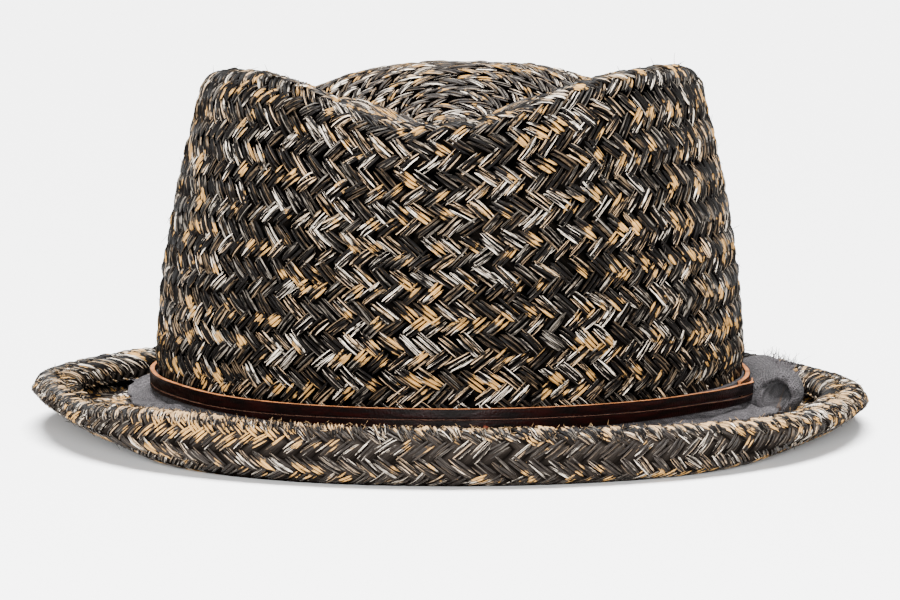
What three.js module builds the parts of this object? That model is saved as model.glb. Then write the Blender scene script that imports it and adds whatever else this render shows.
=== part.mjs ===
// Straw hat with a ring-creased crown, a curled brim, a raw cloth band and two leather straps.
// Millimetres, +Z up. The front faces -Y, +X is the wearer's left, the brim rests on z = 0.
// A bearing is an angle round the hat in degrees: 0 is the front, 90 is +X, 180 is the back.
// "out" is a distance outwards from the head oval, "up" is a height above the resting plane.

import * as THREE from 'three';
import { ParametricGeometry } from 'three/addons/geometries/ParametricGeometry.js';

const headHalfWidth = 83;
const headHalfDepth = 100;
const strawThickness = 2.4;
const clothThickness = 1.0;
const leatherThickness = 1.5;
const seatGap = 0.3;
const ringSegments = 60;

const crown = {
  bellyStart: 15,
  bellyTop: 22,
  belly: 0.8,
  leanStart: 15,
  leanRise: 85,
  lean: 13.4,
  leanPower: 1.8,
  sideShift: 0.5,
  shoulderRise: 6.5,
};

// The ridge round the top of the crown: low in front and behind, with two corner peaks.
// Its inset is how far the shoulder rounds in from the wall.
const ridge = [
  { bearing: -180, height: 93, inset: 7.6 },
  { bearing: -150, height: 94, inset: 7.6 },
  { bearing: -130, height: 98.2, inset: 7.8 },
  { bearing: -110, height: 102.2, inset: 8.4 },
  { bearing: -82, height: 104.3, inset: 8.8 },
  { bearing: -56, height: 104.8, inset: 8.4 },
  { bearing: -41, height: 102.6, inset: 7.6 },
  { bearing: -25, height: 96.6, inset: 7 },
  { bearing: -13, height: 92.4, inset: 6.8 },
  { bearing: 2, height: 92.4, inset: 6.8 },
  { bearing: 14, height: 95.6, inset: 6.8 },
  { bearing: 27, height: 101, inset: 6.6 },
  { bearing: 40, height: 104.4, inset: 6.4 },
  { bearing: 60, height: 106.2, inset: 6.4 },
  { bearing: 85, height: 105.3, inset: 7 },
  { bearing: 110, height: 103.4, inset: 7 },
  { bearing: 130, height: 99.8, inset: 7.2 },
  { bearing: 150, height: 95, inset: 7.4 },
  { bearing: 180, height: 93, inset: 7.6 },
];

const crownTop = {
  floorAtCentre: 86,
  bowlStart: 0.62,
  bowlDepthFront: 4.4,
  bowlDepthSide: 9.5,
  islandCentre: 4,
  islandTop: 105,
  islandSideDrop: 3.9,
  islandHalfWidth: 35,
  islandSidePower: 2.6,
  islandFrontDrop: 16.5,
  islandFrontFrom: -16,
  islandFrontTo: 42,
  islandBackDrop: 14,
  islandBackFrom: 48,
  islandBackTo: 80,
  creaseSoftness: 1.6,
};

// Outer edge of the brim. Reach is how far it goes out, lift how high its underside is where it
// starts to turn up, sweep the width of that turn, bulge the height of its outermost line, top the
// height of the rim, and round the fullness of the turn: 2 is a quarter circle, 1 a straight slope.
const brimEdge = [
  { bearing: -180, reach: 47.4, lift: 0, sweep: 7, bulge: 6.4, top: 12.8, round: 2 },
  { bearing: -150, reach: 45, lift: 0, sweep: 7, bulge: 6.2, top: 12.4, round: 2 },
  { bearing: -125, reach: 41.4, lift: 0.2, sweep: 9, bulge: 6.6, top: 12.8, round: 1.8 },
  { bearing: -105, reach: 40.2, lift: 0.8, sweep: 14, bulge: 8.4, top: 13.5, round: 1.4 },
  { bearing: -90, reach: 40, lift: 1, sweep: 18, bulge: 9.9, top: 14.6, round: 1.25 },
  { bearing: -80, reach: 39.2, lift: 1.5, sweep: 18, bulge: 11.6, top: 14.8, round: 1.2 },
  { bearing: -70, reach: 39.8, lift: 2.2, sweep: 18, bulge: 12, top: 15.2, round: 1.2 },
  { bearing: -60, reach: 41, lift: 2, sweep: 17, bulge: 11.5, top: 15.3, round: 1.25 },
  { bearing: -50, reach: 43, lift: 1.5, sweep: 15, bulge: 9.6, top: 15.8, round: 1.3 },
  { bearing: -40, reach: 44.8, lift: 0.6, sweep: 11, bulge: 8.4, top: 15.7, round: 1.6 },
  { bearing: -29, reach: 46, lift: 0, sweep: 9, bulge: 7.8, top: 15.4, round: 1.9 },
  { bearing: -16, reach: 47, lift: 0, sweep: 7.4, bulge: 7.4, top: 15.2, round: 2.1 },
  { bearing: 0, reach: 47.4, lift: 0, sweep: 7.4, bulge: 7.4, top: 15, round: 2.2 },
  { bearing: 16, reach: 47.2, lift: 0, sweep: 7.4, bulge: 7, top: 14.2, round: 2.2 },
  { bearing: 30, reach: 46.4, lift: 0, sweep: 8, bulge: 6.6, top: 13.2, round: 2.1 },
  { bearing: 40, reach: 45, lift: 0.2, sweep: 10, bulge: 6.5, top: 12.4, round: 1.7 },
  { bearing: 50, reach: 43.4, lift: 0.5, sweep: 13, bulge: 7, top: 11.7, round: 1.3 },
  { bearing: 60, reach: 41.4, lift: 1, sweep: 14, bulge: 7.8, top: 11.6, round: 1.3 },
  { bearing: 75, reach: 39.8, lift: 1, sweep: 14, bulge: 8.6, top: 11.8, round: 1.3 },
  { bearing: 90, reach: 40, lift: 0.8, sweep: 12, bulge: 7.1, top: 11.2, round: 1.4 },
  { bearing: 110, reach: 40.4, lift: 0.4, sweep: 10, bulge: 5.8, top: 10.3, round: 1.7 },
  { bearing: 135, reach: 42.4, lift: 0, sweep: 7, bulge: 5.4, top: 11.1, round: 2 },
  { bearing: 155, reach: 45.4, lift: 0, sweep: 7, bulge: 6, top: 12, round: 2 },
  { bearing: 180, reach: 47.4, lift: 0, sweep: 7, bulge: 6.4, top: 12.8, round: 2 },
];
const curlWidth = 6;
const curlTurnIn = 8;
const curlDroop = 12;
const curlSteps = 4;
const brimFloorSteps = 4;

const band = {
  top: 15.8,
  skirtReach: 9.2,
  turnRadius: 3,
  wave: 0.8,
  waves: 7,
  wavePhase: 1,
  ripple: 0.5,
  ripples: 17,
};

const straps = [
  { name: 'strap_upper', bottom: 12.9, height: 3.8, start: 72, overlap: 14 },
  { name: 'strap_lower', bottom: 9.6, height: 3.0, start: 74, overlap: 10 },
];
const strapSegments = 64;
const strapStepSpan = 24;

const roll = {
  out: 14.2,
  up: 9.7,
  fromBearing: 76,
  toBearing: 106,
  turns: 1.7,
  endAngle: 130,
  innerRadius: 2.2,
  pitch: 3,
  wall: 1.5,
  widthScale: 0.98,
  heightScale: 0.98,
  taper: 0.12,
  spiralSegments: 26,
  lengthSegments: 6,
};

const strawMaterial = new THREE.MeshStandardMaterial({ color: 0x3a312c, roughness: 0.5, metalness: 0 });
const clothMaterial = new THREE.MeshStandardMaterial({ color: 0x5f5a5f, roughness: 0.95, metalness: 0 });
const leatherMaterial = new THREE.MeshStandardMaterial({ color: 0x2c1412, roughness: 0.45, metalness: 0 });

const { lerp, smoothstep, degToRad } = THREE.MathUtils;

function pointAt(bearing, out, up) {
  const angle = degToRad(bearing);
  return new THREE.Vector3(
    (headHalfWidth + out) * Math.sin(angle),
    -(headHalfDepth + out) * Math.cos(angle),
    up,
  );
}

// A value from a table of bearings, on a smooth curve through its rows.
function tableValue(rows, column, bearing) {
  const turn = ((bearing + 540) % 360) - 180;
  const last = rows.length - 1;
  const next = rows.findIndex((row) => row.bearing > turn);
  const around = [next - 2, next - 1, next, next + 1].map((index) => {
    if (index < 0) return { at: rows[last - 1].bearing - 360, value: rows[last - 1][column] };
    if (index > last) return { at: rows[1].bearing + 360, value: rows[1][column] };
    return { at: rows[index].bearing, value: rows[index][column] };
  });
  const [before, from, to, after] = around;
  const width = to.at - from.at;
  const share = (turn - from.at) / width;
  const fromSlope = (to.value - before.value) / (to.at - before.at) * width;
  const toSlope = (after.value - from.value) / (after.at - from.at) * width;
  const squared = share * share;
  const cubed = squared * share;
  return (2 * cubed - 3 * squared + 1) * from.value
    + (cubed - 2 * squared + share) * fromSlope
    + (3 * squared - 2 * cubed) * to.value
    + (cubed - squared) * toSlope;
}

// Crown: a wall that leans in, a rounded shoulder, and a top with a ring crease round an island.

function ridgeHeight(bearing) {
  return tableValue(ridge, 'height', bearing);
}

function wallOut(up) {
  const belly = crown.belly * smoothstep(up, crown.bellyStart, crown.bellyTop);
  const climb = Math.max(0, (up - crown.leanStart) / crown.leanRise);
  return strawThickness + belly - crown.lean * Math.pow(climb, crown.leanPower);
}

function softMaximum(a, b, softness) {
  return (a + b + Math.sqrt((a - b) ** 2 + softness ** 2)) / 2;
}

function topHeight(bearing, share, x, y) {
  const depth = lerp(crownTop.bowlDepthFront, crownTop.bowlDepthSide, Math.sin(degToRad(bearing)) ** 2);
  const sideways = Math.abs(x - crownTop.islandCentre) / crownTop.islandHalfWidth;
  const edge = ridgeHeight(bearing) - depth * (1 - smoothstep(share, crownTop.bowlStart, 1));
  const bowl = lerp(crownTop.floorAtCentre, edge, smoothstep(share, 0, crownTop.bowlStart));
  const front = 1 - smoothstep(y, crownTop.islandFrontFrom, crownTop.islandFrontTo);
  const back = smoothstep(y, crownTop.islandBackFrom, crownTop.islandBackTo);
  const island = crownTop.islandTop
    - crownTop.islandSideDrop * sideways ** crownTop.islandSidePower
    - crownTop.islandFrontDrop * front
    - crownTop.islandBackDrop * back;
  return softMaximum(bowl, island, crownTop.creaseSoftness * (1 - smoothstep(share, crownTop.bowlStart, 1)));
}

// The outer face of the crown: travel 0 to 1 climbs the wall, 1 to 2 rounds the shoulder,
// 2 to 3 crosses the top from the ridge to the middle.
function crownFace(bearing, travel) {
  const ridgeUp = ridgeHeight(bearing);
  const shoulderUp = ridgeUp - crown.shoulderRise;
  const shoulderOut = wallOut(shoulderUp);
  const inset = tableValue(ridge, 'inset', bearing);
  const baseUp = strawThickness + seatGap;
  let point;
  if (travel <= 1) {
    const up = lerp(baseUp, shoulderUp, travel);
    point = pointAt(bearing, wallOut(up), up);
  } else if (travel <= 2) {
    const angle = (travel - 1) * Math.PI / 2;
    const out = shoulderOut - inset * (1 - Math.cos(angle));
    point = pointAt(bearing, out, shoulderUp + crown.shoulderRise * Math.sin(angle));
  } else {
    const share = 3 - travel;
    point = pointAt(bearing, shoulderOut - inset, 0).multiplyScalar(share);
    point.z = topHeight(bearing, share, point.x, point.y);
  }
  point.x += crown.sideShift * smoothstep(point.z, crown.bellyTop, crownTop.islandTop);
  return point;
}

// The inner face lies one straw thickness behind the outer one, and straight below it in the middle.
function crownInside(bearing, travel) {
  const face = crownFace(bearing, travel);
  const bearingStep = 1;
  const travelStep = 0.02;
  if (travel > 3 - travelStep) {
    face.z -= strawThickness;
    return face;
  }
  const round = crownFace(bearing + bearingStep, travel).sub(crownFace(bearing - bearingStep, travel));
  const before = crownFace(bearing, Math.max(0, travel - travelStep));
  const climb = crownFace(bearing, travel + travelStep).sub(before);
  const inwards = round.cross(climb).normalize().multiplyScalar(-strawThickness);
  if (travel === 0) {
    inwards.z = 0;
  }
  return face.add(inwards);
}

const insideRows = [3, 2.8, 2.6, 2.42, 2.26, 2.1, 2, 1.65, 1.3, 1, 0.8, 0.55, 0.3, 0.14, 0];
const outsideRows = [
  0, 0.12, 0.18, 0.34, 0.52, 0.7, 0.86, 1, 1.3, 1.6, 1.85, 2, 2.1, 2.2, 2.3, 2.42, 2.56, 2.7, 2.85, 3,
];

function crownSection(bearing) {
  return [
    ...insideRows.map((travel) => crownInside(bearing, travel)),
    ...outsideRows.map((travel) => crownFace(bearing, travel)),
  ];
}

// Brim: a flat floor that lifts a little at the sides and curls up and over into a hollow edge.

function edgeAt(bearing) {
  const edge = {};
  for (const column of ['reach', 'lift', 'sweep', 'bulge', 'top', 'round']) {
    edge[column] = Math.max(0, tableValue(brimEdge, column, bearing));
  }
  return edge;
}

function brimUnderside(edge, out) {
  return edge.lift * smoothstep(out, strawThickness, edge.reach - edge.sweep);
}

// Part of an ellipse round a centre in equal steps, each angle in degrees from straight outwards.
// Fullness 2 is a true ellipse, and a lower one flattens it towards a straight line.
function ellipsePart(centre, across, rise, fromAngle, toAngle, fullness) {
  const bent = (value) => Math.sign(value) * Math.abs(value) ** (2 / fullness);
  const points = [];
  for (let step = 1; step <= curlSteps; step += 1) {
    const angle = degToRad(lerp(fromAngle, toAngle, step / curlSteps));
    points.push({
      out: centre.out + across * bent(Math.cos(angle)),
      up: centre.up + rise * bent(Math.sin(angle)),
    });
  }
  return points;
}

// One face of the turned-up edge, inset from the outer face: it sweeps up from the floor, rounds
// the rim and droops back in.
function curlFace(edge, inset) {
  const sweepCentre = { out: edge.reach - edge.sweep, up: edge.bulge };
  const rimCentre = { out: edge.reach - curlWidth, up: edge.bulge };
  const rise = edge.top - edge.bulge - inset;
  return [
    ...ellipsePart(sweepCentre, edge.sweep - inset, edge.bulge - edge.lift - inset, -90, 0, edge.round),
    ...ellipsePart(rimCentre, curlWidth - inset, rise, 0, 90, 2),
    ...ellipsePart(rimCentre, curlTurnIn - inset, rise, 90, 180 + curlDroop, 2),
  ];
}

function brimFloor(edge, height) {
  const points = [];
  for (let step = 0; step <= brimFloorSteps; step += 1) {
    const out = (edge.reach - edge.sweep) * step / brimFloorSteps;
    points.push({ out, up: brimUnderside(edge, out) + height });
  }
  return points;
}

function brimSection(bearing) {
  const edge = edgeAt(bearing);
  const outside = [...brimFloor(edge, 0), ...curlFace(edge, 0)];
  const inside = [...brimFloor(edge, strawThickness), ...curlFace(edge, strawThickness)].reverse();
  return [...outside, ...inside, outside[0]].map(({ out, up }) => pointAt(bearing, out, up));
}

// Cloth band: it stands against the crown behind the straps and turns out over the brim floor.

function bandSection(bearing) {
  const edge = edgeAt(bearing);
  const turns = degToRad(bearing);
  const reach = band.skirtReach
    + band.wave * Math.sin(band.waves * turns + band.wavePhase)
    + band.ripple * Math.sin(band.ripples * turns);
  const inner = strawThickness + seatGap;
  const low = strawThickness + seatGap + brimUnderside(edge, reach);
  const quarterTurn = (radius) => [0, 45, 90].map((angle) => ({
    out: inner + band.turnRadius - radius * Math.cos(degToRad(angle)),
    up: low + band.turnRadius - radius * Math.sin(degToRad(angle)),
  }));
  const face = [
    { out: inner, up: band.top },
    ...quarterTurn(band.turnRadius),
    { out: reach, up: low },
  ];
  const back = [
    { out: reach, up: low + clothThickness },
    ...quarterTurn(band.turnRadius - clothThickness).reverse(),
    { out: inner + clothThickness, up: band.top },
  ];
  return [...face, ...back, face[0]].map(({ out, up }) => pointAt(bearing, out, up));
}

// A body swept all the way round the hat from a list of section points at each bearing.
function ringBody(name, sectionAt, material) {
  const sections = [];
  for (let index = 0; index < ringSegments; index += 1) {
    sections.push(sectionAt(index * 360 / ringSegments));
  }
  const stacks = sections[0].length - 1;
  const place = (u, v, target) => {
    const ring = Math.round(u * ringSegments) % ringSegments;
    target.copy(sections[ring][Math.round(v * stacks)]);
  };
  const mesh = new THREE.Mesh(new ParametricGeometry(place, ringSegments, stacks), material);
  mesh.name = name;
  return mesh;
}

// A body bent from a plain bar: bend takes each corner's share along and its offsets across.
function bentBody(name, bar, bend, material) {
  const corners = bar.attributes.position;
  const corner = new THREE.Vector3();
  for (let index = 0; index < corners.count; index += 1) {
    corner.fromBufferAttribute(corners, index);
    corners.setXYZ(index, ...bend(corner).toArray());
  }
  const mesh = new THREE.Mesh(bar, material);
  mesh.name = name;
  return mesh;
}

// Strap: one turn round the crown whose last stretch steps outwards to lie over its first end.
function strapBody(strap) {
  const bar = new THREE.BoxGeometry(1, strap.height, leatherThickness, strapSegments, 1, 1);
  const inner = strawThickness + seatGap + clothThickness + seatGap + leatherThickness / 2;
  const span = 360 + strap.overlap;
  return bentBody(strap.name, bar, (corner) => {
    const turn = (corner.x + 0.5) * span;
    const step = smoothstep(turn, 360 - strapStepSpan, 360 - strap.overlap / 2);
    const out = inner + step * (leatherThickness + seatGap) + corner.z;
    return pointAt(strap.start + turn, out, strap.bottom + strap.height / 2 + corner.y);
  }, leatherMaterial);
}

// Cloth roll: the spare end of the cloth wound on itself, lying along the crown on the brim floor.
function rollBody() {
  const bar = new THREE.BoxGeometry(1, roll.wall, 1, roll.spiralSegments, 1, roll.lengthSegments);
  return bentBody('cloth_roll', bar, (corner) => {
    const turn = (corner.x + 0.5) * roll.turns;
    const angle = degToRad(roll.endAngle) + (turn - roll.turns) * 2 * Math.PI;
    const thin = 1 - roll.taper * (2 * corner.z) ** 2;
    const radius = (roll.innerRadius + roll.pitch * turn) * thin + corner.y;
    const bearing = lerp(roll.fromBearing, roll.toBearing, corner.z + 0.5);
    return pointAt(
      bearing,
      roll.out + radius * roll.widthScale * Math.cos(angle),
      roll.up + radius * roll.heightScale * Math.sin(angle),
    );
  }, clothMaterial);
}

const hat = new THREE.Group();
hat.name = 'straw_hat';
hat.add(
  ringBody('crown', crownSection, strawMaterial),
  ringBody('brim', brimSection, strawMaterial),
  ringBody('cloth_band', bandSection, clothMaterial),
  ...straps.map(strapBody),
  rollBody(),
);

export default hat;
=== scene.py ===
# Straw hat: plaited straw crown and curled brim, a raw cloth band with a rolled end, two leather straps.
# Metres, +Z up, front towards -Y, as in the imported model. Shapes are worked out in millimetres.

import math

import bpy
import numpy as np
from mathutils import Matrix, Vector


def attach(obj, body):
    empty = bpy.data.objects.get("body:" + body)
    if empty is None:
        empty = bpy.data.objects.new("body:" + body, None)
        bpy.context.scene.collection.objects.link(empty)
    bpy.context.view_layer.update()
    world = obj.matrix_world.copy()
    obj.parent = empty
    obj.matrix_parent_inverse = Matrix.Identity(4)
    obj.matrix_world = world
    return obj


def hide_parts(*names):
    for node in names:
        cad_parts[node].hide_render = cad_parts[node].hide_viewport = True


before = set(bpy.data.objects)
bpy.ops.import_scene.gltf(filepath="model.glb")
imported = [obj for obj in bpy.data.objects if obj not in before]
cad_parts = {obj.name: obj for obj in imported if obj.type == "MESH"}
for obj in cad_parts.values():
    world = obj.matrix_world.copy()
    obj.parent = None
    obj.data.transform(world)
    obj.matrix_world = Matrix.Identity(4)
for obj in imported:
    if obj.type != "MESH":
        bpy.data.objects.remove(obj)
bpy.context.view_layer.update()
mm = 0.001
draw = np.random.default_rng(11)

hatSize = {
    "halfWidth": 83,        # head oval, side to side
    "halfDepth": 100,       # head oval, front to back
    "straw": 2.4,           # wall thickness
    "base": 2.7,            # foot of the crown, on the brim
}

crownShape = {
    "bellyStart": 15, "bellyTop": 22, "belly": 0.8,
    "leanStart": 15, "leanRise": 85, "lean": 13.4, "leanPower": 1.8,
    "sideShift": 0.5, "shoulderRise": 6.5,
    "floorAtCentre": 86, "bowlStart": 0.62, "bowlDepthFront": 4.4, "bowlDepthSide": 9.5,
    "islandCentre": 4, "islandTop": 105, "islandSideDrop": 3.9, "islandHalfWidth": 35, "islandSidePower": 2.6,
    "islandFrontDrop": 16.5, "islandFrontFrom": -16, "islandFrontTo": 42,
    "islandBackDrop": 14, "islandBackFrom": 48, "islandBackTo": 80,
    "creaseSoftness": 1.6,
}


def columnTable(names, rows):
    return {name: np.array([row[index] for row in rows], float) for index, name in enumerate(names.split())}


ridgeTable = columnTable("bearing height inset", (
    (-180, 93, 7.6), (-150, 94, 7.6), (-130, 98.2, 7.8), (-110, 102.2, 8.4), (-82, 104.3, 8.8),
    (-56, 104.8, 8.4), (-41, 102.6, 7.6), (-25, 96.6, 7), (-13, 92.4, 6.8), (2, 92.4, 6.8),
    (14, 95.6, 6.8), (27, 101, 6.6), (40, 104.4, 6.4), (60, 106.2, 6.4), (85, 105.3, 7),
    (110, 103.4, 7), (130, 99.8, 7.2), (150, 95, 7.4), (180, 93, 7.6),
))

brimTable = columnTable("bearing reach lift sweep bulge top round", (
    (-180, 47.4, 0, 7, 6.4, 12.8, 2), (-150, 45, 0, 7, 6.2, 12.4, 2), (-125, 41.4, 0.2, 9, 6.6, 12.8, 1.8),
    (-105, 40.2, 0.8, 14, 8.4, 13.5, 1.4), (-90, 40, 1, 18, 9.9, 14.6, 1.25), (-80, 39.2, 1.5, 18, 11.6, 14.8, 1.2),
    (-70, 39.8, 2.2, 18, 11.4, 14.4, 1.2), (-60, 41, 2, 17, 10.2, 13.3, 1.25), (-50, 43, 1.5, 15, 8.9, 14.2, 1.3),
    (-40, 44.8, 0.6, 11, 8.4, 15.7, 1.6), (-29, 46, 0, 9, 7.8, 15.4, 1.9), (-16, 47, 0, 7.4, 7.4, 15.2, 2.1),
    (0, 47.4, 0, 7.4, 7.4, 15, 2.2), (16, 47.2, 0, 7.4, 7, 14.2, 2.2), (30, 46.4, 0, 8, 6.6, 13.2, 2.1),
    (40, 45, 0.2, 10, 6.5, 12.4, 1.7), (50, 43.4, 0.5, 13, 7, 11.7, 1.3), (60, 41.4, 1, 14, 7.8, 11.6, 1.3),
    (75, 39.8, 1, 14, 8.6, 11.8, 1.3), (90, 40, 0.8, 12, 7.1, 11.2, 1.4), (110, 40.4, 0.4, 10, 5.8, 10.3, 1.7),
    (135, 42.4, 0, 7, 5.4, 11.1, 2), (155, 45.4, 0, 7, 6, 12, 2), (180, 47.4, 0, 7, 6.4, 12.8, 2),
))
brimCurl = {
    "width": 6, "turnIn": 8, "droop": 12,
    "floorSteps": 24, "sweepSteps": 28, "curlSteps": 20, "turnSteps": 24,    # points on each part of a section
}


def smoothstep(value, low, high):
    share = np.clip((value - low) / (high - low), 0, 1)
    return share * share * (3 - 2 * share)


def lerp(low, high, share):
    return low + (high - low) * share


def signedPower(value, power):
    return np.sign(value) * np.abs(value) ** power


def unit(vectors):
    return vectors / np.maximum(np.linalg.norm(vectors, axis=-1, keepdims=True), 1e-9)


# A column of a table at any bearing, on a smooth closed curve through its rows.
def curveThrough(table, column, bearing):
    at, value = table["bearing"], table[column]
    turn = (np.asarray(bearing, float) + 540) % 360 - 180
    last = len(at) - 1
    after = np.clip(np.searchsorted(at, turn, side="right"), 1, last) + 1
    paddedAt = np.concatenate(([at[last - 1] - 360], at, [at[1] + 360]))
    padded = np.concatenate(([value[last - 1]], value, [value[1]]))
    width = paddedAt[after] - paddedAt[after - 1]
    share = (turn - paddedAt[after - 1]) / width
    fromSlope = (padded[after] - padded[after - 2]) / (paddedAt[after] - paddedAt[after - 2]) * width
    toSlope = (padded[after + 1] - padded[after - 1]) / (paddedAt[after + 1] - paddedAt[after - 1]) * width
    squared, cubed = share ** 2, share ** 3
    return ((2 * cubed - 3 * squared + 1) * padded[after - 1] + (cubed - 2 * squared + share) * fromSlope
            + (3 * squared - 2 * cubed) * padded[after] + (cubed - squared) * toSlope)


def ovalPoint(bearing, out, up):
    angle = np.radians(bearing)
    across = (hatSize["halfWidth"] + out) * np.sin(angle)
    along = -(hatSize["halfDepth"] + out) * np.cos(angle)
    return np.stack(np.broadcast_arrays(across, along, up), axis=-1).astype(float)


def wallOut(up):
    shape = crownShape
    belly = shape["belly"] * smoothstep(up, shape["bellyStart"], shape["bellyTop"])
    climb = np.maximum(0, (up - shape["leanStart"]) / shape["leanRise"])
    return hatSize["straw"] + belly - shape["lean"] * climb ** shape["leanPower"]


def topHeight(bearing, share, x, y):
    shape = crownShape
    depth = lerp(shape["bowlDepthFront"], shape["bowlDepthSide"], np.sin(np.radians(bearing)) ** 2)
    sideways = np.abs(x - shape["islandCentre"]) / shape["islandHalfWidth"]
    inner = 1 - smoothstep(share, shape["bowlStart"], 1)
    edge = curveThrough(ridgeTable, "height", bearing) - depth * inner
    bowl = lerp(shape["floorAtCentre"], edge, smoothstep(share, 0, shape["bowlStart"]))
    front = 1 - smoothstep(y, shape["islandFrontFrom"], shape["islandFrontTo"])
    back = smoothstep(y, shape["islandBackFrom"], shape["islandBackTo"])
    island = (shape["islandTop"] - shape["islandSideDrop"] * sideways ** shape["islandSidePower"]
              - shape["islandFrontDrop"] * front - shape["islandBackDrop"] * back)
    softness = shape["creaseSoftness"] * inner
    return (bowl + island + np.sqrt((bowl - island) ** 2 + softness ** 2)) / 2


def shoulderHeight(bearing):
    return curveThrough(ridgeTable, "height", bearing) - crownShape["shoulderRise"]


# The bearing and the share of the way out at which a point of the top lies. Four rounds settle it.
def topPlace(x, y):
    bearing = np.degrees(np.arctan2(x, -y))
    for _ in range(4):
        out = wallOut(shoulderHeight(bearing)) - curveThrough(ridgeTable, "inset", bearing)
        across, along = x / (hatSize["halfWidth"] + out), -y / (hatSize["halfDepth"] + out)
        bearing = np.degrees(np.arctan2(across, along))
    return bearing, np.hypot(across, along)


crownRows = {
    "wall": 9, "top": 12.5, "firstUp": 16, "meanRise": 84, "shoulder": 10.4,
    "centreForward": 13, "forwardPower": 1.5,
}


# Outer face of the crown: travel 0 to 1 climbs the wall, 1 to 2 rounds the shoulder, 2 to 3 crosses the top.
def crownFace(bearing, travel):
    shape = crownShape
    inset, shoulderUp = curveThrough(ridgeTable, "inset", bearing), shoulderHeight(bearing)
    shoulderOut = wallOut(shoulderUp)
    wallUp = lerp(hatSize["base"], shoulderUp, np.clip(travel, 0, 1))
    turn = np.clip(travel - 1, 0, 1) * math.pi / 2
    out = np.where(travel <= 1, wallOut(wallUp), shoulderOut - inset * (1 - np.cos(turn)))
    up = np.where(travel <= 1, wallUp, shoulderUp + shape["shoulderRise"] * np.sin(turn))
    point = ovalPoint(bearing, out, up)
    share = np.clip(3 - travel, 0, 1)
    top = ovalPoint(bearing, shoulderOut - inset, 0) * share[..., None]
    top[..., 1] -= crownRows["centreForward"] * (1 - share) ** crownRows["forwardPower"]
    under, share = topPlace(top[..., 0], top[..., 1])
    top[..., 2] = topHeight(under, share, top[..., 0], top[..., 1])
    point = np.where((travel > 2)[..., None], top, point)
    point[..., 0] += shape["sideShift"] * smoothstep(point[..., 2], shape["bellyTop"], shape["islandTop"])
    return point


# The plait rows of the crown, counted up from the band: level at the foot, and along the ridge at the top.
def crownRowFace(bearing, row):
    shoulderUp = shoulderHeight(bearing)
    wallRise = shoulderUp - crownRows["firstUp"]
    share = row / crownRows["wall"]
    path = (crownRows["meanRise"] * share
            + (wallRise + crownRows["shoulder"] - crownRows["meanRise"]) * np.clip(share, 0, 1) ** 2)
    onWall = (crownRows["firstUp"] + path - hatSize["base"]) / (shoulderUp - hatSize["base"])
    onShoulder = 1 + (path - wallRise) / crownRows["shoulder"]
    onTop = 2 + (row - crownRows["wall"]) / crownRows["top"]
    travel = np.where(row > crownRows["wall"], onTop, np.where(path > wallRise, onShoulder, onWall))
    return crownFace(bearing, np.clip(travel, 0, 2.999))


def brimUnderside(bearing, out):
    clear = curveThrough(brimTable, "reach", bearing) - curveThrough(brimTable, "sweep", bearing)
    lift = np.maximum(0, curveThrough(brimTable, "lift", bearing))
    return lift * smoothstep(out, hatSize["straw"], clear)


# The outer face of the brim as section points from its inner edge, under the floor and round the curl.
def brimSection(bearings):
    edge = {name: np.maximum(0, curveThrough(brimTable, name, bearings))[:, None]
            for name in brimTable if name != "bearing"}

    def arc(centre, across, rise, low, high, steps, fullness):
        angle = np.radians(np.linspace(low, high, brimCurl[steps]))[None, :]
        return (centre[0] + across * signedPower(np.cos(angle), 2 / fullness),
                centre[1] + rise * signedPower(np.sin(angle), 2 / fullness))

    clear = edge["reach"] - edge["sweep"]
    floorOut = clear * np.linspace(0, 1, brimCurl["floorSteps"])[None, :-1]
    floorUp = brimUnderside(bearings[:, None] + 0 * floorOut, floorOut)
    rise = edge["top"] - edge["bulge"]
    rim = (edge["reach"] - brimCurl["width"], edge["bulge"])
    parts = [
        (floorOut, floorUp),
        arc((clear, edge["bulge"]), edge["sweep"], edge["bulge"] - edge["lift"], -90, 0, "sweepSteps", edge["round"]),
        arc(rim, brimCurl["width"], rise, 0, 90, "curlSteps", 2),
        arc(rim, brimCurl["turnIn"], rise, 90, 180 + brimCurl["droop"], "turnSteps", 2),
    ]
    out, up = (np.concatenate([part[axis] for part in parts], axis=1) for axis in range(2))
    return out, up, sum(part[0].shape[1] for part in parts[:3]) - 1


brimRows = {"crest": 5, "plait": 9.3, "lining": 1.3, "floorFrom": 7.5, "floorBelowCrest": 3.2}
fieldStep = {"bearing": 0.5, "row": 0.05}
ringBearings = np.arange(-180, 180.01, fieldStep["bearing"])
brimOut, brimUp, brimCrest = brimSection(ringBearings)
brimFace = ovalPoint(ringBearings[:, None], brimOut, brimUp)
brimSteps = np.linalg.norm(np.diff(brimFace, axis=1), axis=2)
brimPath = np.concatenate([np.zeros((len(ringBearings), 1)), np.cumsum(brimSteps, axis=1)], axis=1)
crestPath = brimPath[:, brimCrest:brimCrest + 1]
brimPathRows = (brimPath - crestPath) / brimRows["plait"] + brimRows["crest"]


# Points of the brim's outer face where one section's way along reaches the wanted values.
def sectionPoints(index, wanted, ways):
    return np.stack([np.interp(wanted, ways[index], brimFace[index, :, axis]) for axis in range(3)], axis=-1)


# The next four give a surface's points at all bearings and the given plait rows. This one is the crown's outer face.
def crownRowGrid(rows):
    return crownRowFace(ringBearings[:, None] + 0 * rows, rows + 0 * ringBearings[:, None])


# The brim's outer face, with rows counted so that the top of the rim is row 5.
def brimRowGrid(rows):
    return np.stack([sectionPoints(index, rows, brimPathRows) for index in range(len(ringBearings))])


# The curl's inner face, from the top of the rim to its hem.
def liningRowGrid(rows):
    path = lerp(crestPath, brimPath[:, -1:], rows[None, :] / brimRows["lining"])
    return np.stack([sectionPoints(index, path[index], brimPath) for index in range(len(ringBearings))])


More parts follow.
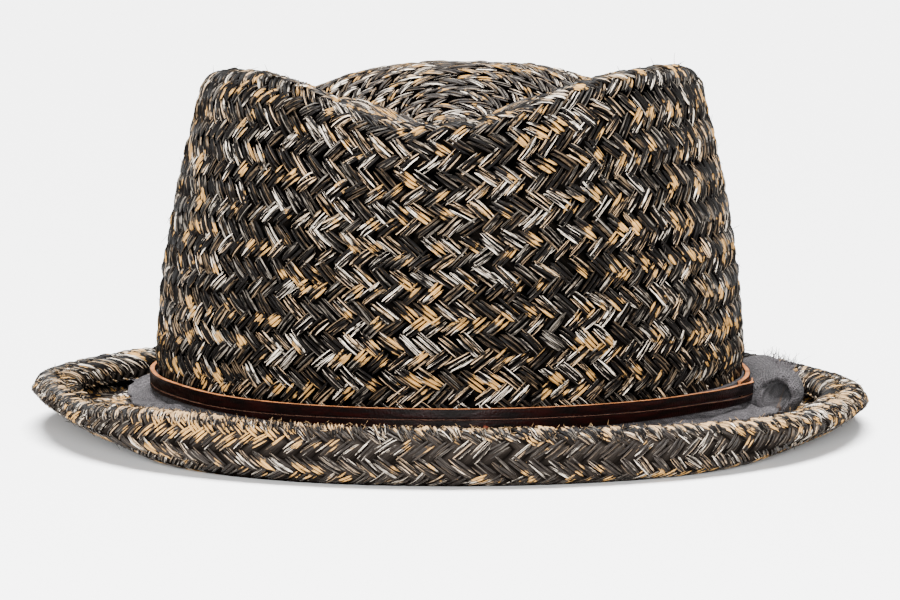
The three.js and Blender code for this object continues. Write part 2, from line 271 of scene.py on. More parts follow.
# The trough's floor, a wall's thickness above the underside of the section, up into the curl.
def floorRowGrid(rows):
    out = brimRows["floorFrom"] + rows * brimRows["plait"]
    under = slice(0, brimCrest + 1 - brimCurl["curlSteps"])
    grid = []
    for index, bearing in enumerate(ringBearings):
        height = np.interp(out, brimOut[index, under], brimUp[index, under])
        up = height + hatSize["straw"] * np.sqrt(1 + np.minimum(np.gradient(height, out) ** 2, 1.0))
        grid.append(ovalPoint(bearing, out, np.minimum(up, brimUp[index, brimCrest] - brimRows["floorBelowCrest"])))
    return np.stack(grid)


# A surface kept as a grid of points and normals over bearing and plait row.
def surfaceField(rowGrid, rowFrom, rowTo, inside=False):
    grid = rowGrid(np.arange(rowFrom, rowTo + 0.001, fieldStep["row"]))
    ring = grid[:-1]
    roundwards = np.roll(ring, -1, axis=0) - np.roll(ring, 1, axis=0)       # over two steps, which is one degree
    roundwards = np.concatenate([roundwards, roundwards[:1]])
    normal = unit(np.cross(roundwards, np.gradient(grid, axis=1)) * (-1 if inside else 1))
    return {"rowFrom": rowFrom, "grid": grid, "normal": normal, "perDegree": np.linalg.norm(roundwards, axis=2)}


underTuck = {"least": 0.2, "from": -0.9, "to": -0.45}      # strips lie flatter where the surface faces down


def onField(field, bearing, row, height=0.0):
    u = ((bearing + 180) % 360) / fieldStep["bearing"]
    v = np.clip((row - field["rowFrom"]) / fieldStep["row"], 0, field["grid"].shape[1] - 1.001)
    i, j = np.floor(u).astype(int), np.floor(v).astype(int)
    i = np.minimum(i, field["grid"].shape[0] - 2)
    fu, fv = (u - i)[..., None], (v - j)[..., None]
    blended = []
    for values in (field["grid"], field["normal"]):
        low = values[i, j] * (1 - fu) + values[i + 1, j] * fu
        high = values[i, j + 1] * (1 - fu) + values[i + 1, j + 1] * fu
        blended.append(low * (1 - fv) + high * fv)
    normal = unit(blended[1])
    tuck = lerp(underTuck["least"], 1.0, smoothstep(normal[..., 2], underTuck["from"], underTuck["to"]))
    return blended[0] + normal * (np.asarray(height) * tuck)[..., None]


crownField = surfaceField(crownRowGrid, -1.5, 21.5)
curlField = surfaceField(brimRowGrid, 0, 6.2)
liningField = surfaceField(liningRowGrid, 0, brimRows["lining"])
floorField = surfaceField(floorRowGrid, -0.2, 3.3, inside=True)
print("surfaces of the crown and brim worked out")


def deselectAll():
    bpy.ops.object.select_all(action="DESELECT")


def startPiece(name):
    piece = bpy.context.object
    piece.name = piece.data.name = name
    return piece


def addObject(name, data):
    added = bpy.data.objects.new(name, data)
    bpy.context.scene.collection.objects.link(added)
    return added


# Welds a whole piece, closes its small holes and turns its faces outwards, as asked.
def cleanPiece(piece, weld=None, holeSides=None, outwards=False):
    deselectAll()
    piece.select_set(True)
    bpy.context.view_layer.objects.active = piece
    bpy.ops.object.mode_set(mode="EDIT")
    bpy.ops.mesh.select_all(action="SELECT")
    if weld:
        bpy.ops.mesh.remove_doubles(threshold=weld)
    if holeSides:
        bpy.ops.mesh.fill_holes(sides=holeSides)
    if outwards:
        bpy.ops.mesh.normals_make_consistent(inside=False)
    bpy.ops.object.mode_set(mode="OBJECT")


# A sheet made a wall, on both sides of it (side 0) or on its inner side (side -1), and shaded smooth.
def thicken(piece, thickness, side, innerMaterial=0):
    wall = piece.modifiers.new("Wall", "SOLIDIFY")
    wall.thickness, wall.offset, wall.use_even_offset, wall.material_offset = thickness, side, False, innerMaterial
    bpy.context.view_layer.objects.active = piece
    bpy.ops.object.modifier_apply(modifier=wall.name)
    piece.data.polygons.foreach_set("use_smooth", [True] * len(piece.data.polygons))


def finishPiece(piece, materials, node=None):
    piece.data.materials.clear()
    for material in materials:
        piece.data.materials.append(material)
    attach(piece, "root")
    if node:
        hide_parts(node)
    return piece


def readValues(items, key, width):
    values = np.zeros(len(items) * width)
    items.foreach_get(key, values)
    return values.reshape(-1, width)


# A flat grid bent onto a shape: place takes its shares across and along, and patternSize scales its UV map.
def bentGrid(name, columns, rows, place, patternSize):
    deselectAll()
    bpy.ops.mesh.primitive_grid_add(x_subdivisions=columns, y_subdivisions=rows, size=2)
    piece = startPiece(name)
    shares = readValues(piece.data.vertices, "co", 3)[:, :2] / 2 + 0.5
    piece.data.vertices.foreach_set("co", (place(shares[:, 0], shares[:, 1]) * mm).ravel())
    pattern = piece.data.uv_layers[0]
    pattern.data.foreach_set("uv", (readValues(pattern.data, "uv", 2) * np.array(patternSize)).ravel())
    pattern.name = "pattern"
    piece.data.update()
    cleanPiece(piece, weld=0.00002)
    return piece


def joinedCopies(name, template, points, marks):
    # template: a small mesh; points: copies x corners x 3 in mm; marks: per-copy values kept as attributes
    copies, corners = points.shape[:2]
    faceCorners = np.array([index for face in template.polygons for index in face.vertices])
    mesh = bpy.data.meshes.new(name)
    mesh.vertices.add(copies * corners)
    mesh.vertices.foreach_set("co", (points.reshape(-1, 3) * mm).ravel())
    loops = (faceCorners[None, :] + np.arange(copies)[:, None] * corners).ravel()
    mesh.loops.add(len(loops))
    mesh.loops.foreach_set("vertex_index", loops)
    sizes = np.tile(np.array([len(face.vertices) for face in template.polygons]), copies)
    mesh.polygons.add(len(sizes))
    mesh.polygons.foreach_set("loop_start", np.concatenate(([0], np.cumsum(sizes)[:-1])))
    mesh.polygons.foreach_set("use_smooth", np.ones(len(sizes), bool))
    pattern = readValues(template.uv_layers[0].data, "uv", 2).ravel()
    mesh.uv_layers.new(name="pattern").data.foreach_set("uv", np.tile(pattern, copies))
    for key, values in marks.items():
        attribute = mesh.attributes.new(key, "FLOAT", "POINT")
        attribute.data.foreach_set("value", np.repeat(values, corners).astype(np.float32))
    mesh.update(calc_edges=True)
    mesh.validate()
    return addObject(name, mesh)


building = {"tree": None}          # the node tree that the helpers below add to


def feed(node, inputs):
    for name, value in inputs.items():
        if isinstance(value, bpy.types.NodeSocket):
            building["tree"].links.new(value, node.inputs[name])
        else:
            node.inputs[name].default_value = value
    return node


def addNode(kind, inputs=None, **properties):
    node = building["tree"].nodes.new("ShaderNode" + kind)
    for name, value in properties.items():
        setattr(node, name, value)
    return feed(node, inputs or {})


def maths(operation, *values):
    return addNode("Math", dict(enumerate(values)), operation=operation).outputs[0]


def times(value, factor):
    return maths("MULTIPLY", value, factor)


def timesPlus(value, factor, more):
    return maths("MULTIPLY_ADD", value, factor, more)


def minus(value, less):
    return maths("SUBTRACT", value, less)


def away(value, centre):
    return maths("ABSOLUTE", minus(value, centre))


def mixColour(factor, low, high, blend="MIX"):
    return addNode("Mix", {0: factor, 6: low, 7: high}, data_type="RGBA", blend_type=blend).outputs[2]


def scaleColour(colour, amount):
    grey = addNode("CombineColor", {"Red": amount, "Green": amount, "Blue": amount}).outputs[0]
    return mixColour(1.0, colour, grey, "MULTIPLY")


def ramp(value, low, high, toLow=0.0, toHigh=1.0):
    ends = {"Value": value, "From Min": low, "From Max": high, "To Min": toLow, "To Max": toHigh}
    return addNode("MapRange", ends, interpolation_type="SMOOTHSTEP").outputs["Result"]


def noise(vector, scale, detail, roughness=0.5):
    given = {"Vector": vector, "Scale": scale, "Detail": detail, "Roughness": roughness}
    return addNode("TexNoise", given).outputs["Fac"]


def stretchedNoise(x, y, z, detail, roughness=0.5):
    return noise(addNode("CombineXYZ", {"X": x, "Y": y, "Z": z}).outputs[0], 1.0, detail, roughness)


def split(vector):
    parts = addNode("SeparateXYZ", {0: vector})
    return parts.outputs[0], parts.outputs[1]


def pattern():
    return addNode("UVMap", uv_map="pattern").outputs[0]


def mark(name):
    return addNode("Attribute", attribute_name=name).outputs["Fac"]


def bump(height, strength, distance):
    return addNode("Bump", {"Strength": strength, "Distance": distance, "Height": height}).outputs[0]


def startGroup(name, inputs):
    group = building["tree"] = bpy.data.node_groups.new(name, "ShaderNodeTree")
    for key, kind in inputs.items():
        group.interface.new_socket(name=key, in_out="INPUT", socket_type="NodeSocket" + kind)
    for key, kind in {"Color": "Color", "Roughness": "Float", "Height": "Float"}.items():
        group.interface.new_socket(name=key, in_out="OUTPUT", socket_type="NodeSocket" + kind)
    return group, group.nodes.new("NodeGroupInput").outputs, group.nodes.new("NodeGroupOutput")


def startMaterial(name, inputs):
    material = bpy.data.materials.new(name)
    material.use_nodes = True
    building["tree"] = material.node_tree
    return material, feed(material.node_tree.nodes["Principled BSDF"], inputs)


bladeLook = {
    # noise along the strip and across it, its shift from blade to blade, and its detail
    "coarse": (0.65, 4.3, 53.0, 1.0), "fine": (1.4, 9.5, 31.0, 1.0), "blotch": (2.4, 0.9, 17.0, 2.0),
    "wornAt": 0.7, "wornFall": 1.9, "wornByBlotch": 0.8, "wornByFibre": 0.9,
    "stainSpread": 2.4, "bareRoughness": 0.25,
}


# Straw blade: near black, with pale lines along its fibres, partly pale fibre and partly painted glints, and wear
# that bares tan straw on its raised end.
def makeBladeGroup():
    group, given, made = startGroup("strawBlade", {
        "Blade": "Vector", "Seed": "Float", "Strip": "Float", "Wear": "Float", "FibreAndGlintLines": "Float",
        "Dark": "Color", "Light": "Color", "Tan": "Color"})
    look, seed, dark, tan = bladeLook, given["Seed"], given["Dark"], given["Tan"]
    along, across = split(given["Blade"])

    def fibres(lengthwise, crosswise, shift, detail):
        return stretchedNoise(times(along, lengthwise), times(across, crosswise), times(seed, shift), detail, 0.6)

    coarse, fine, blotch = (fibres(*look[name]) for name in ("coarse", "fine", "blotch"))
    # Pale lines: partly pale fibres, partly painted glints on the fibre ridges, stronger on strips with a high Strip
    # value.
    lines = times(ramp(coarse, 0.525, 0.56), ramp(fine, 0.40, 0.47))
    lines = times(times(lines, given["FibreAndGlintLines"]), ramp(given["Strip"], 0.25, 0.65, 0.12, 1.0))
    lines = times(lines, ramp(blotch, 0.33, 0.52))
    raised = minus(1.0, times(away(along, look["wornAt"]), look["wornFall"]))
    worn = timesPlus(minus(blotch, 0.5), look["wornByBlotch"], times(given["Wear"], raised))
    worn = timesPlus(minus(coarse, 0.5), look["wornByFibre"], worn)
    bare = ramp(worn, 0.50, 0.60)
    stain = mixColour(ramp(fine, 0.4, 0.7), dark, scaleColour(dark, look["stainSpread"]))
    warmth = ramp(maths("FRACT", times(seed, 37.3)), 0.3, 0.65, 0.1, 0.8)
    stain = mixColour(lines, stain, mixColour(warmth, given["Light"], tan))
    straw = scaleColour(tan, ramp(fine, 0.3, 0.6, 0.3, 1.1))
    feed(made, {
        "Color": mixColour(bare, stain, straw),
        "Roughness": timesPlus(bare, look["bareRoughness"], ramp(coarse, 0.4, 0.65, 0.55, 0.3)),
        "Height": timesPlus(fine, 0.5, coarse)})
    return group


strawColours = {
    "FibreAndGlintLines": 1.0,
    "Dark": (0.0017, 0.0013, 0.0011, 1),
    # Light: colour of the pale lines, partly pale fibre and partly painted glint.
    "Light": (1.0, 0.88, 0.73, 1),
    "Tan": (0.43, 0.235, 0.072, 1),
}
bladeGroup = makeBladeGroup()


def bladeMaterial(name, colours):
    material, shader = startMaterial(name, {"Specular IOR Level": 0.06})
    marks = {"Seed": mark("seed"), "Strip": mark("strip"), "Wear": mark("wear")}
    blade = addNode("Group", {"Blade": pattern(), **marks, **colours}, node_tree=bladeGroup).outputs
    feed(shader, {"Base Color": blade["Color"], "Roughness": blade["Roughness"],
                  "Normal": bump(blade["Height"], 0.9, 0.0006)})
    return material


drawnPlait = {"foldAt": 0.42, "lean": 1.9, "depth": 0.0012}


# Chevron plait drawn in bump and colour, darker in its grooves and seams as painted shade, for the inside of the hat
# and the walls seen between the blades.
def plaitMaterial(name, low, high):
    material, shader = startMaterial(name, {"Roughness": 0.95, "Specular IOR Level": 0.0})
    across, rows = split(pattern())
    row = maths("FRACT", rows)
    slope = away(row, drawnPlait["foldAt"])
    strip = maths("FRACT", maths("ADD", across, times(slope, drawnPlait["lean"])))
    ridge, seam = (maths("SINE", times(share, math.pi)) for share in (strip, row))
    height = times(maths("POWER", ridge, 0.5), maths("POWER", seam, 0.3))
    fine = stretchedNoise(times(strip, 9.0), times(slope, 3.0), rows, 3.0)
    feed(shader, {"Base Color": mixColour(ramp(times(height, fine), 0.15, 0.75), low, high),
                  "Normal": bump(timesPlus(fine, 0.3, height), 1.0, drawnPlait["depth"])})
    return material


def namedRows(names, rows):
    return {key: dict(zip(names.split(), row)) for key, row in rows.items()}


plaitTypes = namedRows("pitch stripWidth blades bladeWidth height sink fan", {
    "row": (5.6, 3.5, 3, 1.3, 0.95, 0.3, 0),
    "top": (6.4, 3.3, 2, 1.6, 0.6, 0.15, 0),       # flatter and wider set, on the top of the crown
    "rim": (5.0, 3.1, 3, 1.25, 0.8, 0.3, 0),       # flatter and finer, on the outside of the rim
    "edge": (6.0, 5.0, 6, 0.9, 1.15, 0.35, 4),     # where the outermost strips fold over the rim
    "lining": (4.1, 1.8, 2, 1.0, 1.2, 0.3, 0),     # long strips side by side, on the inner face of the curl
    "hem": (4.4, 1.0, 1, 0.8, 1.1, 0.3, 0),        # the ends of the outermost strips, along the hem
})
# One row of plait is two half rows of strips: the upper leans down to the right, the lower up to the right.
plaitHalves = namedRows("angle middle length shift lift", {
    ("row", "upper"): (-39, 0.71, 9.4, -2.0, 0.12), ("row", "lower"): (40, 0.21, 8.5, 0.7, 0.0),
    ("top", "upper"): (-24, 0.71, 9.4, -2.0, 0.15), ("top", "lower"): (25, 0.21, 9.2, 0.7, 0.0),
    ("rim", "upper"): (-37, 0.71, 8.8, -2.0, 0.1), ("rim", "lower"): (38, 0.21, 8.4, 0.7, 0.0),
    ("edge", "only"): (114, -0.14, 7.2, 0.0, 0.4),
    ("lining", "only"): (-50, 0.62, 14, 0.0, 0.1),
    ("hem", "only"): (-9, 1.24, 6.5, 0.0, 0.0),
})


def makeBladeTemplate():
    # A thin strip: a small grid with a closed underside, shaped over a unit square.
    deselectAll()
    bpy.ops.mesh.primitive_grid_add(x_subdivisions=5, y_subdivisions=2, size=1)
    piece = startPiece("blade_template")
    bpy.ops.object.mode_set(mode="EDIT")
    bpy.ops.mesh.select_all(action="DESELECT")
    bpy.ops.mesh.select_mode(type="EDGE")
    bpy.ops.mesh.select_non_manifold(extend=False, use_boundary=True)
    bpy.ops.mesh.edge_face_add()
    bpy.ops.mesh.select_all(action="SELECT")
    bpy.ops.mesh.normals_make_consistent(inside=False)
    bpy.ops.mesh.select_mode(type="VERT")
    bpy.ops.object.mode_set(mode="OBJECT")
    return piece


def degreeLength(field, bearing, row):
    i = ((np.asarray(bearing) + 180) % 360 / fieldStep["bearing"]).astype(int)
    j = (np.asarray(row) - field["rowFrom"]) / fieldStep["row"]
    return np.maximum(field["perDegree"][i, np.clip(j, 0, field["perDegree"].shape[1] - 1).astype(int)], 0.12)


# Teeth one pitch apart along a plait, wound in a spiral (climb 1) or in closed rings (climb 0).
def windTeeth(field, rowFrom, rowTo, pitch, climb):
    teeth, turned = [], 0.0
    while turned < 360 * (rowTo - rowFrom) - 0.5:
        ring = 0 if climb else math.floor(turned / 360)
        row = rowFrom + (turned / 360 if climb else ring)
        bearing = (turned + ring * 1.7) % 360 - 180         # each ring starts a little further round
        teeth.append((bearing, row))
        turned += pitch / float(degreeLength(field, bearing, row + 0.5))
    return np.array(teeth)


bladeScatter = {                # how far strips and the blades in them stray, in degrees, millimetres and shares
    "stripAngle": 3.5, "stripAlong": 0.3, "stripUp": 0.25, "stripLift": 0.12,
    "length": 0.05, "along": 0.3, "aside": 0.1, "width": 0.12, "bow": 0.3, "angle": 1.6, "tall": 0.1, "tilt": 0.14,
}
bladeForm = {"narrowing": 0.3, "peakAt": 0.06, "endPower": 3, "sidePower": 2.4, "outerDrop": 0.64}


def plaitPiece(name, field, rowFrom, rowTo, wornShare, kind="row", climb=1, keep=None, flatten=None,
               straw=None, shine=None):
    spec, form = plaitTypes[kind], bladeForm
    teeth = windTeeth(field, rowFrom, rowTo, spec["pitch"], climb)
    count = len(teeth)
    flat = np.array([vertex.co[:2] for vertex in bladeTemplate.data.vertices])
    s, w = flat[None, :, 0], flat[None, :, 1]
    allPoints, marks = [], {"seed": [], "strip": [], "wear": []}

    def stray(of):
        return draw.normal(0, bladeScatter[of], count)[:, None]

    for half in (row for (owner, _), row in plaitHalves.items() if owner == kind):
        middle = teeth[:, 1] + half["middle"]
        perDegree = degreeLength(field, teeth[:, 0], middle)[:, None]
        stripAngle, stripAlong, stripUp, stripLift = map(stray, ("stripAngle", "stripAlong", "stripUp", "stripLift"))
        isWorn = draw.random(count) < wornShare(teeth[:, 0], middle)
        worn = np.where(isWorn, draw.uniform(0.5, 0.95, count), draw.uniform(0, 0.3, count))
        worn = worn + 0.6 * np.maximum(0, wornShare(teeth[:, 0], middle) - 1)
        stripSeed = draw.random(count)
        for blade in range(spec["blades"]):
            place = blade - (spec["blades"] - 1) / 2
            along = s * (half["length"] * (1 + stray("length"))) + stray("along")
            narrowing = 1 - form["narrowing"] * np.abs(2 * s) ** 4
            aside = (place * spec["stripWidth"] / spec["blades"] + stray("aside")
                     + w * narrowing * spec["bladeWidth"] * (1 + stray("width")) + stray("bow") * s ** 2 * 2)
            angle = np.radians(half["angle"] + stripAngle + stray("angle") + spec["fan"] * place)
            right = along * np.cos(angle) - aside * np.sin(angle) + half["shift"] + stripAlong
            upward = along * np.sin(angle) + aside * np.cos(angle) + stripUp
            crown = (np.maximum(0, 1 - np.abs(2 * (s - form["peakAt"])) ** form["endPower"])
                     * (1 - np.abs(2 * w) ** form["sidePower"]))
            tall = (spec["height"] + half["lift"] + stripLift + stray("tall")
                    - form["outerDrop"] * (place / max(1, spec["blades"] - 1)) ** 2 + stray("tilt") * 2 * w)
            height = crown * tall - spec["sink"]
            row = middle[:, None] + upward / brimRows["plait"]
            if flatten is not None:
                height = height * flatten(row)
            points = onField(field, teeth[:, :1] + right / perDegree, row, height)
            kept = np.ones(count, bool) if keep is None else keep(points)
            allPoints.append(points[kept])
            marks["seed"].append(((stripSeed * 7.3 + blade * 0.37 + draw.random(count) * 0.2) % 1)[kept])
            marks["wear"].append((worn * draw.uniform(0.5, 1.2, count))[kept])
            # strip: how strongly each strip's pale lines and painted glints show.
            marks["strip"].append((stripSeed if shine is None else stripSeed * shine(teeth[:, 0]))[kept])
    piece = joinedCopies(name, bladeTemplate.data, np.concatenate(allPoints),
                         {key: np.concatenate(values) for key, values in marks.items()})
    return finishPiece(piece, [straw or bladeStraw])


bladeTemplate = makeBladeTemplate()
bladeStraw = bladeMaterial("straw_blades", strawColours)
edgeStraw = bladeMaterial("straw_edge", {**strawColours, "FibreAndGlintLines": 0.75, "Tan": (0.43, 0.27, 0.13, 1)})
# The top's dark stain is lighter, with more glint lines: painted light where the top of the crown faces the overhead
# light.
topPaintedLightStraw = bladeMaterial("straw_top_painted_light", {**strawColours, "FibreAndGlintLines": 1.3, "Dark": (0.013, 0.0108, 0.0094, 1)})
rimStraw = bladeMaterial("straw_rim", {**strawColours, "FibreAndGlintLines": 0.6, "Dark": (0.0095, 0.0078, 0.0067, 1)})
# The trough floor's dark stain is lighter: painted light on the floor strips that the curl shades.
floorPaintedLightStraw = bladeMaterial("straw_floor_painted_light", {**strawColours, "Dark": (0.012, 0.0098, 0.0084, 1)})
# Near-black plait colours: painted shade for the walls seen between the blades.
rimGapPaintedShade = plaitMaterial("straw_rim_gaps_painted_shade", (0.003, 0.0024, 0.002, 1), (0.016, 0.013, 0.011, 1))
gapPaintedShade = plaitMaterial("straw_gaps_painted_shade", (0.0002, 0.0002, 0.0002, 1), (0.002, 0.0016, 0.0013, 1))
innerStraw = plaitMaterial("straw_inside", (0.004, 0.003, 0.0025, 1), (0.05, 0.038, 0.029, 1))


strawWear = {                   # shares of strips worn bare, and stretches as bearing from, to and softness
    "wallFoot": 0.46, "wallLeft": 0.10, "wallPerRow": 0.018, "wallLimits": (0.12, 0.6),
    "curl": 0.34, "curlFoot": 0.5, "curlBleached": 1.5, "footHeights": (0.8, 3.2), "bleachedRows": (3.7, 4.2),
    "edge": 0.2, "edgeFront": 0.85, "edgeMore": 0.6,
    "front": (-75, 80, 8), "bleached": (-42, -19, 5), "left": (28, 50, 5),
}
# Painted highlight: the pale glint lines show more strongly on the strips at the front of the crown, where glints
# from the front light fall.
crownShine = {"least": 0.6, "more": 0.62, "front": (-28, 32, 16)}       # pale fibre lines catch the light in front


def between(value, low, high, soft):
    return smoothstep(value, low - soft, low + soft) * (1 - smoothstep(value, high - soft, high + soft))


def wallWear(bearing, row):
    wear = strawWear
    return np.clip(wear["wallFoot"] + wear["wallLeft"] * np.sin(np.radians(bearing)) - wear["wallPerRow"] * row,
                   *wear["wallLimits"])


def evenWear(share):
    return lambda bearing, row: 0 * bearing + share


# The curl is rubbed bare where it meets the surface, and bleached at one stretch below its upper edge.
def curlWear(bearing, row):
    wear = strawWear
    foot = 1 - smoothstep(onField(curlField, bearing, row, 0 * bearing)[:, 2], *wear["footHeights"])
    bleached = between(bearing, *wear["bleached"]) * smoothstep(row, *wear["bleachedRows"])
    return wear["curl"] + wear["curlFoot"] * foot + wear["curlBleached"] * bleached


def edgeWear(bearing, row):
    front, bleached, left = (between(bearing, *strawWear[name]) for name in ("front", "bleached", "left"))
    return (strawWear["edge"] + strawWear["edgeFront"] * front
            + strawWear["edgeMore"] * bleached + strawWear["edgeMore"] * left)


def frontShine(bearing):
    return crownShine["least"] + crownShine["more"] * between(bearing, *crownShine["front"])


stripLimits = {"footRows": (-0.1, -0.01), "bandTop": 15.4, "surface": 0.05}


def footTuck(row):
    return lerp(0.2, 1.0, smoothstep(row, *stripLimits["footRows"]))


def aboveTheBand(points):
    return points[:, :, 2].max(axis=1) > stripLimits["bandTop"]


def offTheSurface(points):
    return points[:, :, 2].min(axis=1) > stripLimits["surface"]


plaits = (
    plaitPiece("crown_plait_low", crownField, -1.35, 4.65, wallWear,
               flatten=footTuck, keep=aboveTheBand, shine=frontShine),
    plaitPiece("crown_plait_high", crownField, 4.65, 9.65, wallWear, shine=frontShine),
    plaitPiece("crown_plait_top", crownField, 9.65, 21.0, evenWear(0.4), kind="top", straw=topPaintedLightStraw),
    plaitPiece("brim_plait_curl", curlField, 0.95, 4.95, curlWear,
               kind="rim", climb=0, keep=offTheSurface, straw=rimStraw),
    plaitPiece("brim_plait_edge", curlField, 4.93, 5.93, edgeWear, kind="edge", climb=0, straw=edgeStraw),
    plaitPiece("brim_plait_inner", liningField, 0.0, 1.0, evenWear(0.2), kind="lining", climb=0),
    plaitPiece("brim_plait_floor", floorField, -0.1, 2.9, evenWear(0.7), climb=0, straw=floorPaintedLightStraw),
    plaitPiece("brim_plait_hem", liningField, 0.0, 1.0, evenWear(0.85), kind="hem", climb=0, straw=edgeStraw),
)
bpy.data.objects.remove(bladeTemplate)
print("plaits woven:", sum(len(plait.data.polygons) for plait in plaits), "faces")

# Walls under the plaits, with the inside of the hat. Their outer faces are near black: painted shade where the wall
# shows between the blades.
wallShape = {"rowFrom": -1.4, "rowTo": 21.5, "below": -0.05, "crownThick": 0.0021, "brimThick": 0.0023}


def crownShellPoint(across, along):
    row = lerp(wallShape["rowFrom"], wallShape["rowTo"], along)
    return onField(crownField, -180 + 360 * across, row, np.full_like(across, wallShape["below"]))


def brimShellPoint(across, along):
    columns = np.clip(360 * across / fieldStep["bearing"], 0, len(ringBearings) - 1).round().astype(int)
    return np.stack([sectionPoints(column, share * brimPath[column, -1], brimPath)
                     for column, share in zip(columns, along)])


crownShell = bentGrid("crown_wall", 140, 90, crownShellPoint, (100, 19))
brimShell = bentGrid("brim_wall", 170, 60, brimShellPoint, (150, 7.5))
for shell, node, gapShade in ((crownShell, "crown", gapPaintedShade), (brimShell, "brim", rimGapPaintedShade)):
    thicken(shell, wallShape[node + "Thick"], -1, innerMaterial=1)
    finishPiece(shell, [gapShade, innerStraw], node)
print("crown and brim walls made")


clothLook = {
    "threads": 3.7, "wander": 7.0, "wanderSize": 0.6,      # turn of a thread's wave for each millimetre, and its sway
    "weaveLight": (0.45, 0.95, 0.2, 1.1), "dustLight": (0.3, 0.7, 0.35, 1.5),
}


# Woven cloth: crossed threads in the piece's UV map, whose unit is a millimetre, with slubs and dust.
def makeClothGroup():
    group, given, made = startGroup("wovenCotton", {"Cloth": "Vector", "Dark": "Color", "Light": "Color"})
    look = clothLook
    along, across = split(given["Cloth"])
    wander = stretchedNoise(times(along, look["wanderSize"]), times(across, look["wanderSize"]), 0.0, 2.0)

    def threads(towards, sideways, shift):
        bent = timesPlus(wander, look["wander"], times(towards, look["threads"]))
        wave = maths("ABSOLUTE", maths("SINE", bent))
        slub = stretchedNoise(times(towards, 2.2), times(sideways, 0.35), shift, 2.0)
        return times(maths("POWER", wave, 0.7), ramp(slub, 0.25, 0.75, 0.55, 1.0))

    weave = maths("MAXIMUM", threads(along, across, 1.0), threads(across, along, 7.0))
    dust = stretchedNoise(times(along, 0.22), times(across, 0.3), 3.0, 4.0, 0.65)
    shade = times(ramp(weave, *look["weaveLight"]), ramp(dust, *look["dustLight"]))
    feed(made, {
        "Color": mixColour(shade, given["Dark"], given["Light"]),
        "Roughness": ramp(weave, 0.3, 1.0, 0.95, 0.8),
        "Height": timesPlus(dust, 0.5, weave)})
    return group


clothGroup = makeClothGroup()


def clothMaterial(name, dark, light, stainAt=None):
    material, shader = startMaterial(name, {"Specular IOR Level": 0.1, "Sheen Weight": 0.06, "Sheen Roughness": 0.6})
    woven = addNode("Group", {"Cloth": pattern(), "Dark": dark, "Light": light}, node_tree=clothGroup).outputs
    colour = woven["Color"]
    if stainAt is not None:            # a brown streak along one thread line
        along, across = split(pattern())
        ragged = stretchedNoise(times(along, 1.6), times(across, 0.5), 9.0, 3.0)
        streak = times(ramp(away(along, stainAt), 1.5, 0.6), ramp(ragged, 0.35, 0.55))
        colour = mixColour(streak, colour, (0.06, 0.034, 0.02, 1))
    feed(shader, {"Base Color": colour, "Roughness": woven["Roughness"],
                  "Normal": bump(woven["Height"], 1.0, 0.0008)})
    return material


# Ripples: sine waves added up, each with its size, its count in a full turn and its shift.
def ripples(angle, waves):
    return sum(size * np.sin(count * angle + shift) for size, count, shift in waves)


strapLine = columnTable("bearing upperTop upperBottom lowerTop lowerBottom", (
    (-180, 16.7, 13.1, 12.8, 9.8), (-120, 16.9, 13.2, 12.9, 11.9), (-65, 17.0, 13.5, 13.2, 12.2),
    (-43, 16.2, 12.9, 12.7, 11.4), (-10, 16.2, 13.4, 13.2, 10.2), (20, 16.2, 13.4, 13.2, 10.2),
    (52, 15.9, 13.0, 12.7, 10.4), (72, 15.7, 12.5, 11.6, 9.9), (90, 16.0, 12.7, 11.4, 9.6),
    (130, 16.5, 13.0, 12.4, 9.5), (180, 16.7, 13.1, 12.8, 9.8),
))

bandShape = {
    "face": 3.2, "top": 15.7, "reach": 10.2, "bend": 2.6, "slope": 28, "overPlait": 1.1,
    "spreadRight": 6, "spreadLeft": 13, "liftLeft": 3.2, "swell": 2.4, "soften": 1.2, "looseLift": 0.25,
    "length": 605, "cut": 18.5, "thick": 0.0009,
    "spreadLeftAt": (104, 150, 12), "spreadRightAt": (65, 105, 9), "swellAt": (52, 92, 13), "underStrap": 0.3,
    "raggedEdge": ((0.8, 7, 1), (0.5, 17, 0), (0.35, 41, 2), (0.2, 83, 1)),
}


